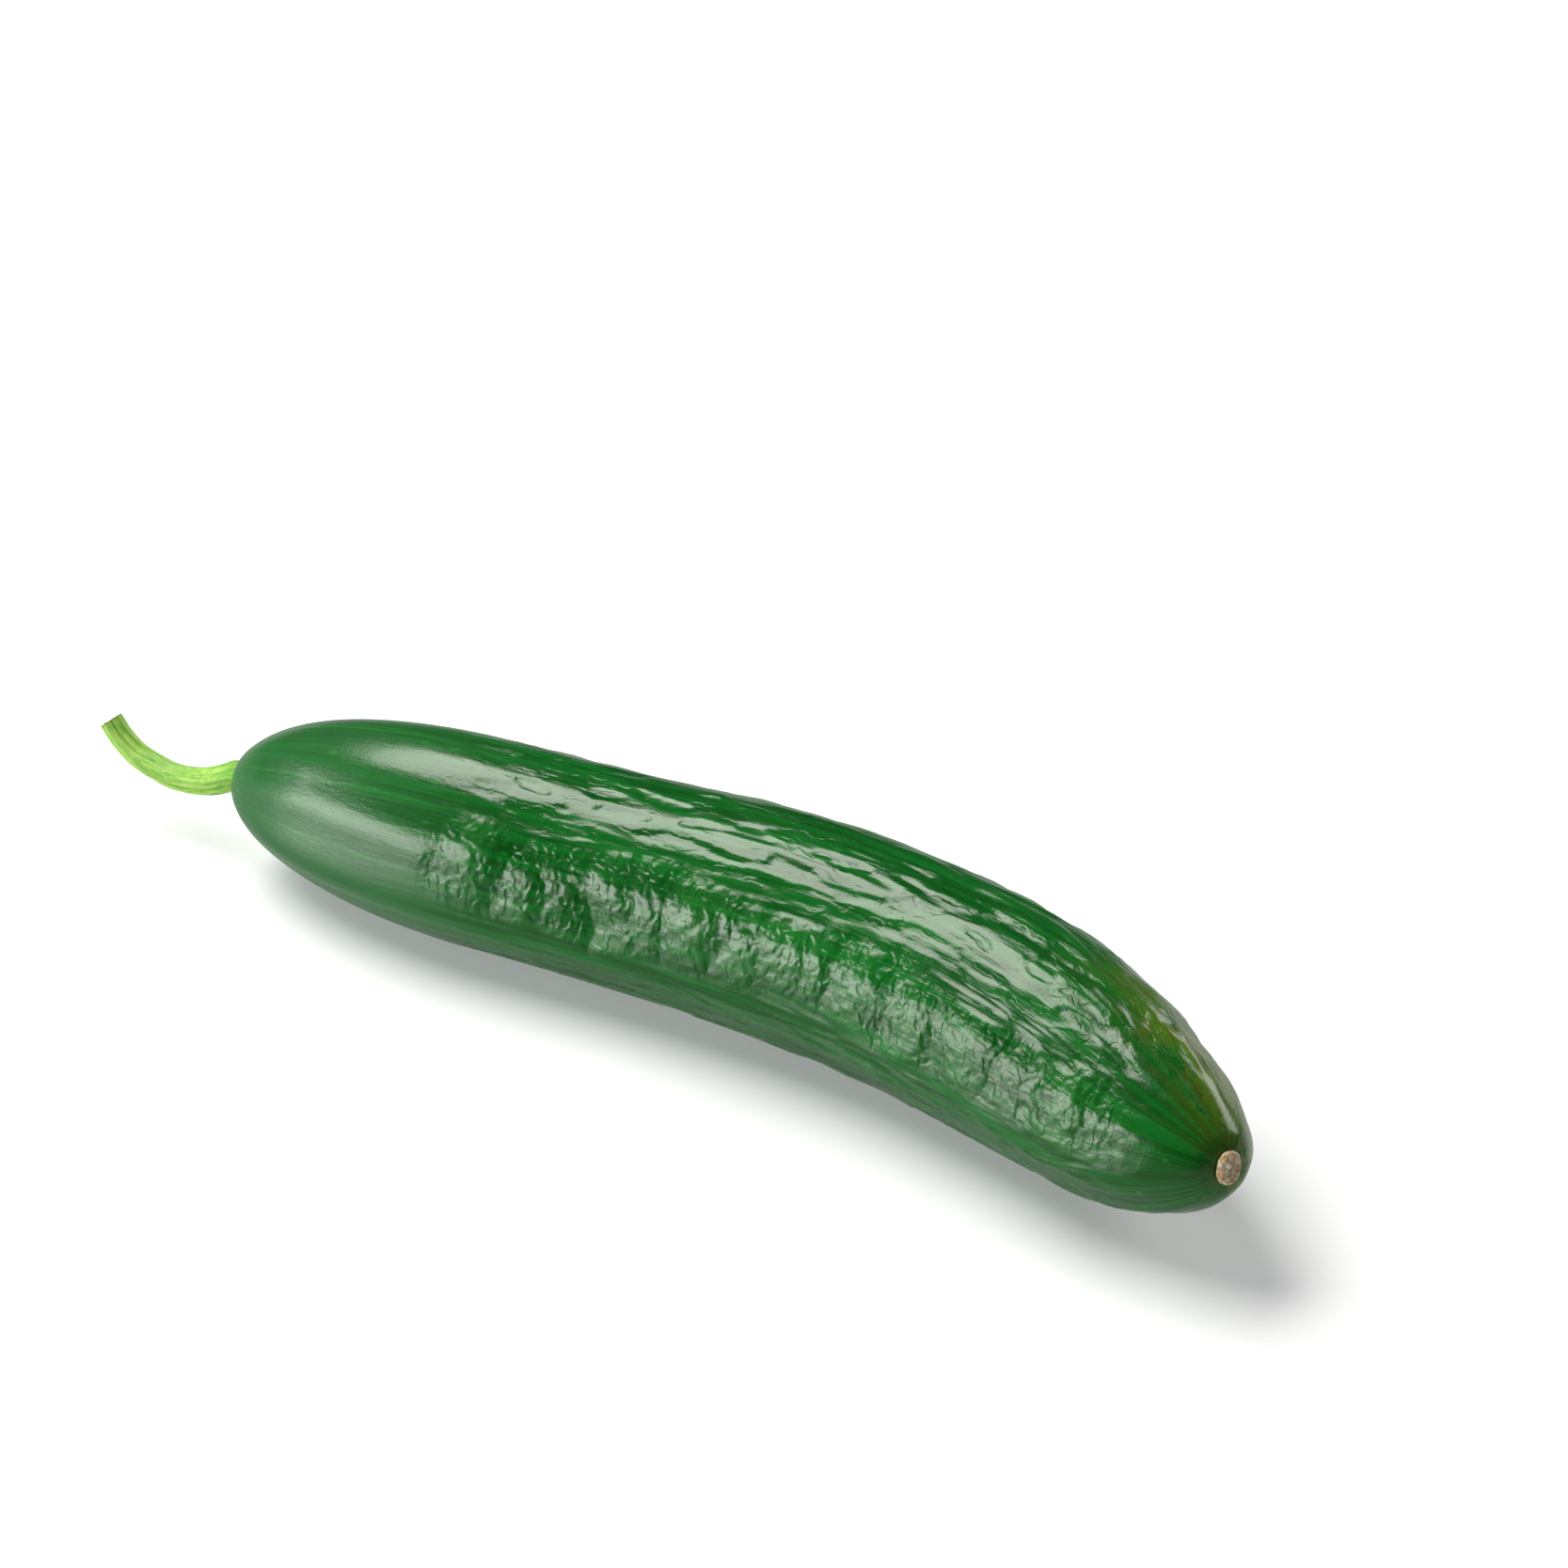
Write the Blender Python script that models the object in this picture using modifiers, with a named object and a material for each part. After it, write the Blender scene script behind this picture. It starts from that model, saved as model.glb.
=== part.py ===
"""A green cucumber as picked, lying on its side, with its stalk and the dry scar of its flower.

Metres, +Z up, and the surface that it lies on is z = 0. The fruit runs along X, from its stalk at -X
to the flower scar at +X, and it is bent sideways: the middle stands towards +Y.
"""

import math

import bpy
from mathutils import Matrix, Vector

# Fruit: the straight distance between its ends, and the radii of its neck and its belly.
FRUIT_CHORD = 0.2274
NECK_RADIUS = 0.01995
BELLY_RADIUS = 0.0213
# The belly is reached between these shares of the fruit's length.
BELLY_START = 0.31
BELLY_FULL = 0.60
# Both ends are domes. A power of 2 makes half an ellipsoid, and a higher one a blunter end.
STEM_DOME = 0.060
STEM_DOME_POWER = 2.0
TIP_DOME = 0.0733
TIP_DOME_POWER = 2.4

# Bend: how far the middle stands sideways, and how far the widest bend lies towards the flower end.
SIDE_BEND = 0.0190
BEND_SKEW = 1.52
# The neck droops towards the surface, and the flower end turns up a little.
NECK_DROOP = 0.0036
NECK_DROOP_SHARE = 0.30
TIP_LIFT = 0.0047
TIP_LIFT_SHARE = 0.136
# The fruit's weight presses a flat strip this deep along its underside.
PRESSED_DEPTH = 0.00025

# Ribs: nine shallow ones, three to each of the fruit's three chambers. They stand out most on the neck.
RIBS = 9
RIB_DEPTH = 0.00022
NECK_RIB_DEPTH = 0.00050
NECK_RIB_SHARE = 0.5
RIB_FADE_RADIUS = 0.012

# Stalk: its radii, and the way that its middle line takes from the fruit's end.
STALK_RADIUS = 0.00272
STALK_FOOT_RADIUS = 0.00335
STALK_FOOT_LENGTH = 0.006
STALK_LOBES = 5
STALK_LOBE_DEPTH = 0.07
STALK_ROUTE = (
    (0.0, 0.0, 0.0),
    (-0.0066, -0.0014, -0.0032),
    (-0.0143, -0.0025, -0.0047),
    (-0.0198, -0.0030, -0.0040),
    (-0.0242, -0.0033, -0.0027),
    (-0.0278, -0.0035, -0.0002),
    (-0.0305, -0.0035, 0.0027),
)
STALK_STEPS = 5
STALK_SIDES = STALK_LOBES * 4

# Sockets: the flat floors, at each end of the fruit, that the stalk and the scar sit on.
STALK_SOCKET_RADIUS = 0.0040
STALK_SOCKET_DEPTH = 0.0034
STALK_RIM_RADIUS = 0.0056
SCAR_SOCKET_RADIUS = 0.0034
SCAR_SOCKET_DEPTH = 0.0016
SCAR_RIM_RADIUS = 0.0041
GAP = 0.0003

# Scar: a low corky button, with a rolled rim, where the flower dropped off.
SCAR_RADIUS = 0.0030
SCAR_HEIGHT = 0.0019
SCAR_ROLL = 0.00085
SCAR_ROLL_START = math.radians(110)
SCAR_ROLL_TURN = math.radians(110)
SCAR_ROLL_STEPS = 5
SCAR_HOLLOW = 0.0005
SCAR_HOLLOW_RADIUS = 0.0010
SCAR_FOOT_RADIUS = 0.0028

# How finely the solids are cut.
FRUIT_RINGS = 50
FRUIT_SIDES = RIBS * 6
SCAR_SIDES = 24
CENTRELINE_STEPS = 64
MERGE_WITHIN = 0.00001

# The block that presses the fruit's underside flat: its length, width and thickness.
SURFACE_BLOCK = (2 * FRUIT_CHORD, 0.2, 0.01)

# Materials: colour, then roughness.
SKIN_FINISH = ((0.018, 0.115, 0.022, 1.0), 0.34)
STALK_FINISH = ((0.270, 0.480, 0.055, 1.0), 0.55)
SCAR_FINISH = ((0.420, 0.270, 0.140, 1.0), 0.85)


def smooth_step(value):
    """0 below 0, 1 above 1, and a smooth rise between."""
    value = min(1.0, max(0.0, value))
    return value * value * (3 - 2 * value)


def share_left(share, reach):
    """1 at share 0, falling smoothly to 0 at reach."""
    return max(0.0, 1 - share / reach) ** 2


def body_radius(share):
    """The fruit's radius without its domed ends, at a share of its length from the stalk."""
    rise = smooth_step((share - BELLY_START) / (BELLY_FULL - BELLY_START))
    return NECK_RADIUS + (BELLY_RADIUS - NECK_RADIUS) * rise


def dome(distance, length, power):
    """The share of the full radius that a dome has at a distance from its end."""
    return math.sqrt(1 - max(0.0, 1 - distance / length) ** power)


def dome_distance(radius, full_radius, length, power):
    """How far from its end a dome reaches a radius."""
    return length * (1 - (1 - (radius / full_radius) ** 2) ** (1 / power))


def centre(share):
    """A point of the fruit's middle line."""
    side = SIDE_BEND * math.sin(math.pi * share**BEND_SKEW)
    height = body_radius(share) - PRESSED_DEPTH
    height -= NECK_DROOP * share_left(share, NECK_DROOP_SHARE)
    height += TIP_LIFT * share_left(1 - share, TIP_LIFT_SHARE)
    return Vector(((share - 0.5) * FRUIT_CHORD, side, height))


CENTRELINE = [centre(step / CENTRELINE_STEPS) for step in range(CENTRELINE_STEPS + 1)]
FRUIT_LENGTH = sum((b - a).length for a, b in zip(CENTRELINE, CENTRELINE[1:]))


def fruit_radius(distance):
    """The radius of the fruit at a distance along its middle line from the stalk end."""
    stem_end = dome(distance, STEM_DOME, STEM_DOME_POWER)
    tip_end = dome(FRUIT_LENGTH - distance, TIP_DOME, TIP_DOME_POWER)
    return body_radius(distance / FRUIT_LENGTH) * stem_end * tip_end


def fruit_profile():
    """(radius, distance from the stalk end) from the flower end down to the stalk end."""
    stalk_rim = dome_distance(STALK_RIM_RADIUS, NECK_RADIUS, STEM_DOME, STEM_DOME_POWER)
    scar_rim = FRUIT_LENGTH - dome_distance(SCAR_RIM_RADIUS, BELLY_RADIUS, TIP_DOME, TIP_DOME_POWER)
    points = [
        (0.0, FRUIT_LENGTH - SCAR_SOCKET_DEPTH),
        (SCAR_SOCKET_RADIUS, FRUIT_LENGTH - SCAR_SOCKET_DEPTH),
    ]
    for ring in range(FRUIT_RINGS + 1):
        # Rings stand closer together towards the ends, where the fruit rounds off.
        share = (1 + math.cos(math.pi * ring / FRUIT_RINGS)) / 2
        distance = stalk_rim + (scar_rim - stalk_rim) * share
        points.append((fruit_radius(distance), distance))
    points.append((STALK_SOCKET_RADIUS, STALK_SOCKET_DEPTH))
    points.append((0.0, STALK_SOCKET_DEPTH))
    return points


def clear_scene():
    """Removes every object, so that the model starts empty."""
    for thing in list(bpy.data.objects):
        bpy.data.objects.remove(thing, do_unlink=True)


def new_collection(name):
    """A collection in the scene."""
    collection = bpy.data.collections.new(name)
    bpy.context.scene.collection.children.link(collection)
    return collection


def new_material(name, finish):
    """A plain Principled material of one colour and roughness."""
    colour, roughness = finish
    made = bpy.data.materials.new(name)
    made.use_nodes = True
    shader = made.node_tree.nodes["Principled BSDF"]
    shader.inputs["Base Color"].default_value = colour
    shader.inputs["Roughness"].default_value = roughness
    shader.inputs["Metallic"].default_value = 0.0
    return made


def poly_curve(name, points, closed=False):
    """A 3D curve through the points."""
    data = bpy.data.curves.new(name, "CURVE")
    data.dimensions = "3D"
    spline = data.splines.new("POLY")
    spline.points.add(len(points) - 1)
    for place, point in zip(spline.points, points):
        place.co = (*point, 1.0)
    spline.use_cyclic_u = closed
    return bpy.data.objects.new(name, data)


def turned_mesh(name, profile, sides):
    """A solid turned about X from (radius, distance) points that run from its far end to its near end."""
    outline = bpy.data.meshes.new(name + "_outline")
    edges = [(i, i + 1) for i in range(len(profile) - 1)]
    outline.from_pydata([(radius, 0, distance) for radius, distance in profile], edges, [])
    lathe = bpy.data.objects.new(name + "_lathe", outline)
    bpy.context.scene.collection.objects.link(lathe)
    screw = lathe.modifiers.new("Turn", "SCREW")
    screw.axis = "Z"
    screw.steps = sides
    screw.render_steps = sides
    screw.use_merge_vertices = True
    screw.merge_threshold = MERGE_WITHIN
    graph = bpy.context.evaluated_depsgraph_get()
    mesh = bpy.data.meshes.new_from_object(lathe.evaluated_get(graph))
    mesh.name = name
    mesh.transform(Matrix.Rotation(math.radians(90), 4, "Y"))
    bpy.data.objects.remove(lathe, do_unlink=True)
    return mesh


def press_ribs(mesh):
    """Moves the straight fruit's skin in and out, so that shallow ribs run along it."""
    for vertex in mesh.vertices:
        distance, across, height = vertex.co
        radius = math.hypot(across, height)
        if radius < STALK_RIM_RADIUS:
            continue
        neck = share_left(distance / FRUIT_LENGTH, NECK_RIB_SHARE)
        depth = RIB_DEPTH + (NECK_RIB_DEPTH - RIB_DEPTH) * neck
        depth *= smooth_step((radius - STALK_RIM_RADIUS) / RIB_FADE_RADIUS)
        # A crest runs along the underside, so that the fruit rests on one strip.
        around = math.atan2(across, -height)
        grown = 1 + depth * math.cos(RIBS * around) / radius
        vertex.co.y *= grown
        vertex.co.z *= grown


def bend_fruit(fruit, helpers):
    """Bends the straight fruit along its middle line, and returns the curve that does it."""
    guide = poly_curve("centreline_guide", CENTRELINE)
    guide.data.twist_mode = "Z_UP"
    guide.hide_render = True
    helpers.objects.link(guide)
    bend = fruit.modifiers.new("Bend along the middle line", "CURVE")
    bend.object = guide
    bend.deform_axis = "POS_X"
    return guide


def press_flat(fruit, helpers):
    """Cuts the fruit off at the surface, and returns the block that does it."""
    bpy.ops.mesh.primitive_cube_add(size=1.0, location=(0, 0, -SURFACE_BLOCK[2] / 2))
    cutter = bpy.context.object
    cutter.name = "surface_cutter"
    cutter.scale = SURFACE_BLOCK
    cutter.hide_render = True
    cutter.display_type = "WIRE"
    for collection in list(cutter.users_collection):
        collection.objects.unlink(cutter)
    helpers.objects.link(cutter)
    press = fruit.modifiers.new("Pressed flat where it lies", "BOOLEAN")
    press.operation = "DIFFERENCE"
    press.solver = "EXACT"
    press.object = cutter
    return cutter


def make_fruit(parts, material):
    """The straight fruit with its ribs and its two sockets, before it is bent."""
    mesh = turned_mesh("fruit", fruit_profile(), FRUIT_SIDES)
    press_ribs(mesh)
    mesh.shade_smooth()
    mesh.materials.append(material)
    fruit = bpy.data.objects.new("fruit", mesh)
    parts.objects.link(fruit)
    return fruit


def smooth_route(points, steps):
    """Catmull-Rom points through the route's own."""
    points = [Vector(point) for point in points]
    ends = [2 * points[0] - points[1], *points, 2 * points[-1] - points[-2]]
    route = []
    for a, b, c, d in zip(ends, ends[1:], ends[2:], ends[3:]):
        for step in range(steps):
            t = step / steps
            route.append(
                0.5 * (2 * b + (c - a) * t + (2 * a - 5 * b + 4 * c - d) * t**2)
                + 0.5 * (3 * b - a - 3 * c + d) * t**3
            )
    route.append(points[-1])
    return route


def stalk_outline():
    """The points of the stalk's section, a circle with five shallow lobes."""
    points = []
    for side in range(STALK_SIDES):
        turn = -2 * math.pi * side / STALK_SIDES
        radius = STALK_RADIUS * (1 + STALK_LOBE_DEPTH * math.cos(STALK_LOBES * turn))
        points.append((radius * math.cos(turn), radius * math.sin(turn), 0.0))
    return points


def make_stalk(parts, helpers, material):
    """The stalk, its outline swept along its route from a wider foot. Returns it and its outline."""
    section = poly_curve("stalk_section", stalk_outline(), True)
    section.data.dimensions = "2D"
    section.hide_render = True
    helpers.objects.link(section)

    along = (CENTRELINE[1] - CENTRELINE[0]).normalized()
    foot = CENTRELINE[0] + along * (STALK_SOCKET_DEPTH - GAP)
    start = CENTRELINE[0] - along * GAP
    stalk = poly_curve("stalk", [foot] + [start + place for place in smooth_route(STALK_ROUTE, STALK_STEPS)])
    widening = STALK_FOOT_RADIUS / STALK_RADIUS - 1
    for place in stalk.data.splines[0].points:
        reach = (place.co.to_3d() - foot).length
        place.radius = 1 + widening * share_left(reach, STALK_FOOT_LENGTH)
    stalk.data.bevel_mode = "OBJECT"
    stalk.data.bevel_object = section
    stalk.data.use_fill_caps = True
    stalk.data.materials.append(material)
    parts.objects.link(stalk)
    return stalk, section


def scar_profile():
    """(radius, distance from its foot) from the middle of the scar's face round to its foot."""
    hollow = SCAR_HEIGHT - SCAR_HOLLOW
    points = [(0.0, hollow), (SCAR_HOLLOW_RADIUS, hollow)]
    for step in range(SCAR_ROLL_STEPS + 1):
        turn = SCAR_ROLL_START - SCAR_ROLL_TURN * step / SCAR_ROLL_STEPS
        across = SCAR_RADIUS - SCAR_ROLL + SCAR_ROLL * math.cos(turn)
        points.append((across, SCAR_HEIGHT - SCAR_ROLL + SCAR_ROLL * math.sin(turn)))
    points.append((SCAR_FOOT_RADIUS, 0.0))
    points.append((0.0, 0.0))
    return points


def make_scar(parts, material):
    """The flower scar, a button with a rolled rim and a hollow in the middle of its face."""
    mesh = turned_mesh("blossom_scar", scar_profile(), SCAR_SIDES)
    mesh.shade_smooth()
    mesh.materials.append(material)
    scar = bpy.data.objects.new("blossom_scar", mesh)
    along = (CENTRELINE[-1] - CENTRELINE[-2]).normalized()
    scar.location = CENTRELINE[-1] - along * (SCAR_SOCKET_DEPTH - GAP)
    scar.rotation_mode = "QUATERNION"
    scar.rotation_quaternion = along.to_track_quat("X", "Z")
    parts.objects.link(scar)
    return scar


def centre_on_origin(pieces, solids):
    """Hangs every piece on one empty, and moves it so that the whole lies with its middle over the origin."""
    holder = bpy.data.objects.new("cucumber_origin", None)
    bpy.context.scene.collection.objects.link(holder)
    for piece in pieces:
        piece.parent = holder
    bpy.context.view_layer.update()
    graph = bpy.context.evaluated_depsgraph_get()
    corners = []
    for solid in solids:
        evaluated = solid.evaluated_get(graph)
        mesh = evaluated.to_mesh()
        corners += [evaluated.matrix_world @ vertex.co for vertex in mesh.vertices]
        evaluated.to_mesh_clear()
    for axis in (0, 1):
        values = [corner[axis] for corner in corners]
        holder.location[axis] = -(min(values) + max(values)) / 2


def main():
    """Builds the fruit, its stalk and its scar."""
    clear_scene()
    parts = new_collection("cucumber")
    helpers = new_collection("helpers")

    fruit = make_fruit(parts, new_material("skin", SKIN_FINISH))
    guide = bend_fruit(fruit, helpers)
    cutter = press_flat(fruit, helpers)
    stalk, section = make_stalk(parts, helpers, new_material("stalk", STALK_FINISH))
    scar = make_scar(parts, new_material("scar", SCAR_FINISH))
    centre_on_origin([fruit, stalk, scar, guide, cutter, section], [fruit, stalk, scar])


main()
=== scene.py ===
"""A green cucumber as picked, lying on its side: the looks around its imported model.

Metres, +Z up, and the surface that it lies on is z = 0. The fruit runs along X, from its stalk at -X
to the scar of its flower at +X. Every piece is first made straight along X, from x = 0, and is then
bent along its own middle line, so its patterns are kept in an attribute that holds the straight place.
"""

from __future__ import annotations

import logging
import math
from collections.abc import Sequence
from dataclasses import asdict, dataclass, field, fields

import bpy
import numpy as np
from mathutils import Matrix, Vector, noise


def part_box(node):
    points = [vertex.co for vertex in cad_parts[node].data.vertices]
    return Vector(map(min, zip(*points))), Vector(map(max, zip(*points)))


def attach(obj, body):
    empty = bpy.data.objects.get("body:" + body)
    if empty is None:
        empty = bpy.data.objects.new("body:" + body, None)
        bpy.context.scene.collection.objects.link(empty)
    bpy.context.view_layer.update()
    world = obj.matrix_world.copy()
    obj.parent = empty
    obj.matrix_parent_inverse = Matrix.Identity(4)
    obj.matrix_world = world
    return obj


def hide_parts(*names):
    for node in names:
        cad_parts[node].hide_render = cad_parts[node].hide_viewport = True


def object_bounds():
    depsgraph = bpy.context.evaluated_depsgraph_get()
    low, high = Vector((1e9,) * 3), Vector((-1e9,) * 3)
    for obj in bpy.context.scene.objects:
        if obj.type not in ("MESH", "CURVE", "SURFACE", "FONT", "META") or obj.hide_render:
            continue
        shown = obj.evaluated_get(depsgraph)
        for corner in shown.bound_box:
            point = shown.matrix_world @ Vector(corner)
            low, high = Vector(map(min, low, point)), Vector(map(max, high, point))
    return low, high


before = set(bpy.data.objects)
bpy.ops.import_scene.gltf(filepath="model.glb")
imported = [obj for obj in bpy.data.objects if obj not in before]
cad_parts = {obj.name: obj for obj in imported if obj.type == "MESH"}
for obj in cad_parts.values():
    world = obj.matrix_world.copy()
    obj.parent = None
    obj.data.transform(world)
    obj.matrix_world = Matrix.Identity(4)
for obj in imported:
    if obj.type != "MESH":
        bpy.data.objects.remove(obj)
CAD_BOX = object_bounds()

LOG = logging.getLogger("cucumber")
MM = 0.001
STRAIGHT = "straight"
RELIEF = "relief"
BELT = "belt"
BODY = "root"
PRINCIPLED = "Principled BSDF"
MOST_CUTS = 100
CELL_REACH = 0.6
RIM_ANGLE = math.radians(50)

Colour = tuple[float, float, float, float]
Triple = tuple[float, float, float]
Pair = tuple[float, float]
Socket = bpy.types.NodeSocket
Array = np.ndarray


def unit(vector: Array) -> Array:
    """The direction of a vector."""
    return vector / np.linalg.norm(vector)


def line_length(line: Array) -> float:
    """The length of a line of points."""
    return float(np.linalg.norm(np.diff(line, axis=0), axis=1).sum())


def smooth_step(value: Array | float) -> Array | float:
    """0 below 0, 1 above 1, and a smooth rise between."""
    value = np.clip(value, 0.0, 1.0)
    return value * value * (3 - 2 * value)


def share_left(share: Array | float, reach: float) -> Array | float:
    """1 at share 0, falling smoothly to 0 at reach."""
    return np.maximum(0.0, 1 - share / reach) ** 2


def band(value: Array, start: float, end: float, fade: float) -> Array:
    """1 between start and end, falling to 0 over fade outside them."""
    return smooth_step((value - start) / fade + 1) * smooth_step((end - value) / fade + 1)


@dataclass(frozen=True)
class Rise:
    """A smooth rise from 0, at start, to 1, a width further on. A width below 0 makes it a fall."""

    start: float
    width: float

    def at(self, value: Array) -> Array:
        """The rise at each value."""
        return smooth_step((value - self.start) / self.width)


@dataclass(frozen=True)
class Grain:
    """A noise over a mesh: its cell along each axis, and the shift that makes its pattern its own."""

    cell: Triple
    shift: float

    def _places(self, points: Array) -> list[list[float]]:
        """The points, one row each, measured in cells."""
        return (points / np.asarray(self.cell) + self.shift).tolist()

    def smooth(self, points: Array) -> Array:
        """Smooth noise at each point, about -1 to 1."""
        places = self._places(points)
        return np.fromiter(map(noise.noise, places), float, len(places))

    def cells(self, points: Array) -> Array:
        """The height of a scatter of round tops: 1 in a cell's middle, and about 0 on its border."""
        away = np.array([noise.voronoi(place)[0][0] for place in self._places(points)])
        return 1 - (away / CELL_REACH) ** 2


@dataclass(frozen=True)
class FruitShape:
    """The smooth shape of the fruit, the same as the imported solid's before its ribs."""

    chord: float = 0.2274
    neck_radius: float = 0.01995
    belly_radius: float = 0.0213
    belly_start: float = 0.31
    belly_full: float = 0.60
    stem_dome: float = 0.060
    stem_power: float = 2.0
    tip_dome: float = 0.0733
    tip_power: float = 2.4
    side_bend: float = 0.0190
    bend_skew: float = 1.52
    neck_droop: float = 0.0036
    droop_share: float = 0.30
    tip_lift: float = 0.0047
    lift_share: float = 0.136
    scar_middle: float = 0.00035
    pressed_depth: float = 0.00025
    steps: int = 256

    def body_radius(self, share: Array) -> Array:
        """The radius without the domed ends, at shares of the length from the stalk."""
        rise = smooth_step((share - self.belly_start) / (self.belly_full - self.belly_start))
        return self.neck_radius + (self.belly_radius - self.neck_radius) * rise

    def middle_line(self) -> Array:
        """The points of the middle line, with the chord's middle over the origin."""
        share = np.linspace(0, 1, self.steps + 1)
        side = self.side_bend * np.sin(math.pi * share**self.bend_skew)
        height = self.body_radius(share) - self.pressed_depth
        height -= self.neck_droop * share_left(share, self.droop_share)
        height += self.tip_lift * share_left(1 - share, self.lift_share)
        return np.stack([(share - 0.5) * self.chord, side, height], axis=1)

    def length(self) -> float:
        """The length of the middle line."""
        return line_length(self.middle_line())

    def radius(self, distance: Array) -> Array:
        """The radius at distances along the middle line from the stalk end."""
        length = self.length()
        stem_end = np.maximum(0.0, 1 - distance / self.stem_dome) ** self.stem_power
        tip_end = np.maximum(0.0, 1 - (length - distance) / self.tip_dome) ** self.tip_power
        return self.body_radius(distance / length) * np.sqrt((1 - stem_end) * (1 - tip_end))

    def in_frame(self) -> Array:
        """The middle line's points in the frame: its far end lies behind the middle of the scar."""
        line = self.middle_line()
        along = unit(line[-1] - line[-2])
        low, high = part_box("blossom_scar")
        middle = np.array((low + high) / 2) + along * self.scar_middle
        line[:, :2] += (middle - line[-1])[:2]
        return line


class Solid:
    """A straight round piece along X that is cut finely, shaped and then bent."""

    def __init__(self, name: str, rings: int, sides: int) -> None:
        """Adds a cylinder and cuts it into rings.

        Args:
            name: The piece's name.
            rings: How many stretches it has along X.
            sides: How many sides it has.
        """
        bpy.ops.object.select_all(action="DESELECT")
        bpy.ops.mesh.primitive_cylinder_add(
            vertices=sides, depth=1.0, location=(0.5, 0, 0), rotation=(0, math.pi / 2, 0)
        )
        self.piece = bpy.context.object
        self.piece.name = name
        self.piece.data.name = name
        self.rings = rings
        bpy.ops.object.transform_apply(location=True, rotation=True, scale=True)
        self._cut_rings()

    def _deselect_all(self) -> None:
        """Deselects every vertex, edge and face."""
        mesh = self.piece.data
        for part in (mesh.vertices, mesh.edges, mesh.polygons):
            part.foreach_set("select", [False] * len(part))

    def _cut_rings(self) -> None:
        """Subdivides the edges that run along X.

        One round cuts an edge at most MOST_CUTS times, so there are two rounds.
        """
        bpy.context.tool_settings.mesh_select_mode = (False, True, False)
        mesh = self.piece.data
        coarse = max(count for count in range(1, MOST_CUTS) if self.rings % count == 0)
        for count in (coarse, self.rings // coarse):
            self._deselect_all()
            for edge in mesh.edges:
                a, b = (mesh.vertices[i].co for i in edge.vertices)
                edge.select = abs(a.x - b.x) > 0.5 / self.rings
            if count > 1:
                bpy.ops.object.mode_set(mode="EDIT")
                bpy.ops.mesh.subdivide(number_cuts=count - 1)
                bpy.ops.object.mode_set(mode="OBJECT")

    def places(self) -> Array:
        """Every vertex's place."""
        places = np.empty(len(self.piece.data.vertices) * 3, np.float32)
        self.piece.data.vertices.foreach_get("co", places)
        return places.reshape(-1, 3).astype(float)

    def place(self, places: Array) -> None:
        """Moves every vertex to its place."""
        self.piece.data.vertices.foreach_set("co", places.astype(np.float32).ravel())
        self.piece.data.update()

    def turn_on(self, distance: Array, radius: Array) -> Array:
        """Gives ring i the distance along X and the radius of row i.

        Args:
            distance: Each ring's distance along X.
            radius: Each ring's radius.

        Returns:
            The ring that each vertex belongs to.
        """
        places = self.places()
        ring = np.rint(places[:, 0] * self.rings).astype(int)
        places[:, 0] = distance[ring]
        places[:, 1:] *= radius[ring][:, None]
        self.place(places)
        return ring

    def inset_far_end(self, insets: Sequence[Pair]) -> None:
        """Insets the flat face at the far end, again and again.

        Args:
            insets: For each inset, how far in it goes and how far out of the face.
        """
        bpy.context.tool_settings.mesh_select_mode = (False, False, True)
        self._deselect_all()
        max(self.piece.data.polygons, key=lambda face: face.center.x).select = True
        bpy.ops.object.mode_set(mode="EDIT")
        for thickness, depth in insets:
            bpy.ops.mesh.inset(thickness=thickness, depth=depth, use_even_offset=False)
        bpy.ops.object.mode_set(mode="OBJECT")

    def keep(self, name: str, values: Array) -> None:
        """Stores a value or a vector for every vertex."""
        kind = "FLOAT_VECTOR" if values.ndim == 2 else "FLOAT"
        attribute = self.piece.data.attributes.new(name, kind, "POINT")
        key = "vector" if values.ndim == 2 else "value"
        attribute.data.foreach_set(key, values.astype(np.float32).ravel())

    def bend_along(self, line: Array) -> None:
        """Bends the straight piece along a line of points and applies the bend."""
        data = bpy.data.curves.new(self.piece.name + "_line", "CURVE")
        data.dimensions = "3D"
        data.twist_mode = "Z_UP"
        spline = data.splines.new("POLY")
        spline.points.add(len(line) - 1)
        spline.points.foreach_set("co", np.c_[line, np.ones(len(line))].ravel())
        guide = bpy.data.objects.new(data.name, data)
        bpy.context.scene.collection.objects.link(guide)
        bend = self.piece.modifiers.new("Bend", "CURVE")
        bend.object = guide
        bend.deform_axis = "POS_X"
        bpy.context.view_layer.objects.active = self.piece
        bpy.ops.object.modifier_apply(modifier=bend.name)
        bpy.data.objects.remove(guide, do_unlink=True)
        bpy.data.curves.remove(data)

    def dress(self, material: bpy.types.Material) -> None:
        """Shades the piece smooth, with its sharp rims kept, and gives it its material."""
        bpy.ops.object.select_all(action="DESELECT")
        self.piece.select_set(True)
        bpy.context.view_layer.objects.active = self.piece
        bpy.ops.object.shade_smooth_by_angle(angle=RIM_ANGLE)
        self.piece.data.materials.append(material)


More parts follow.
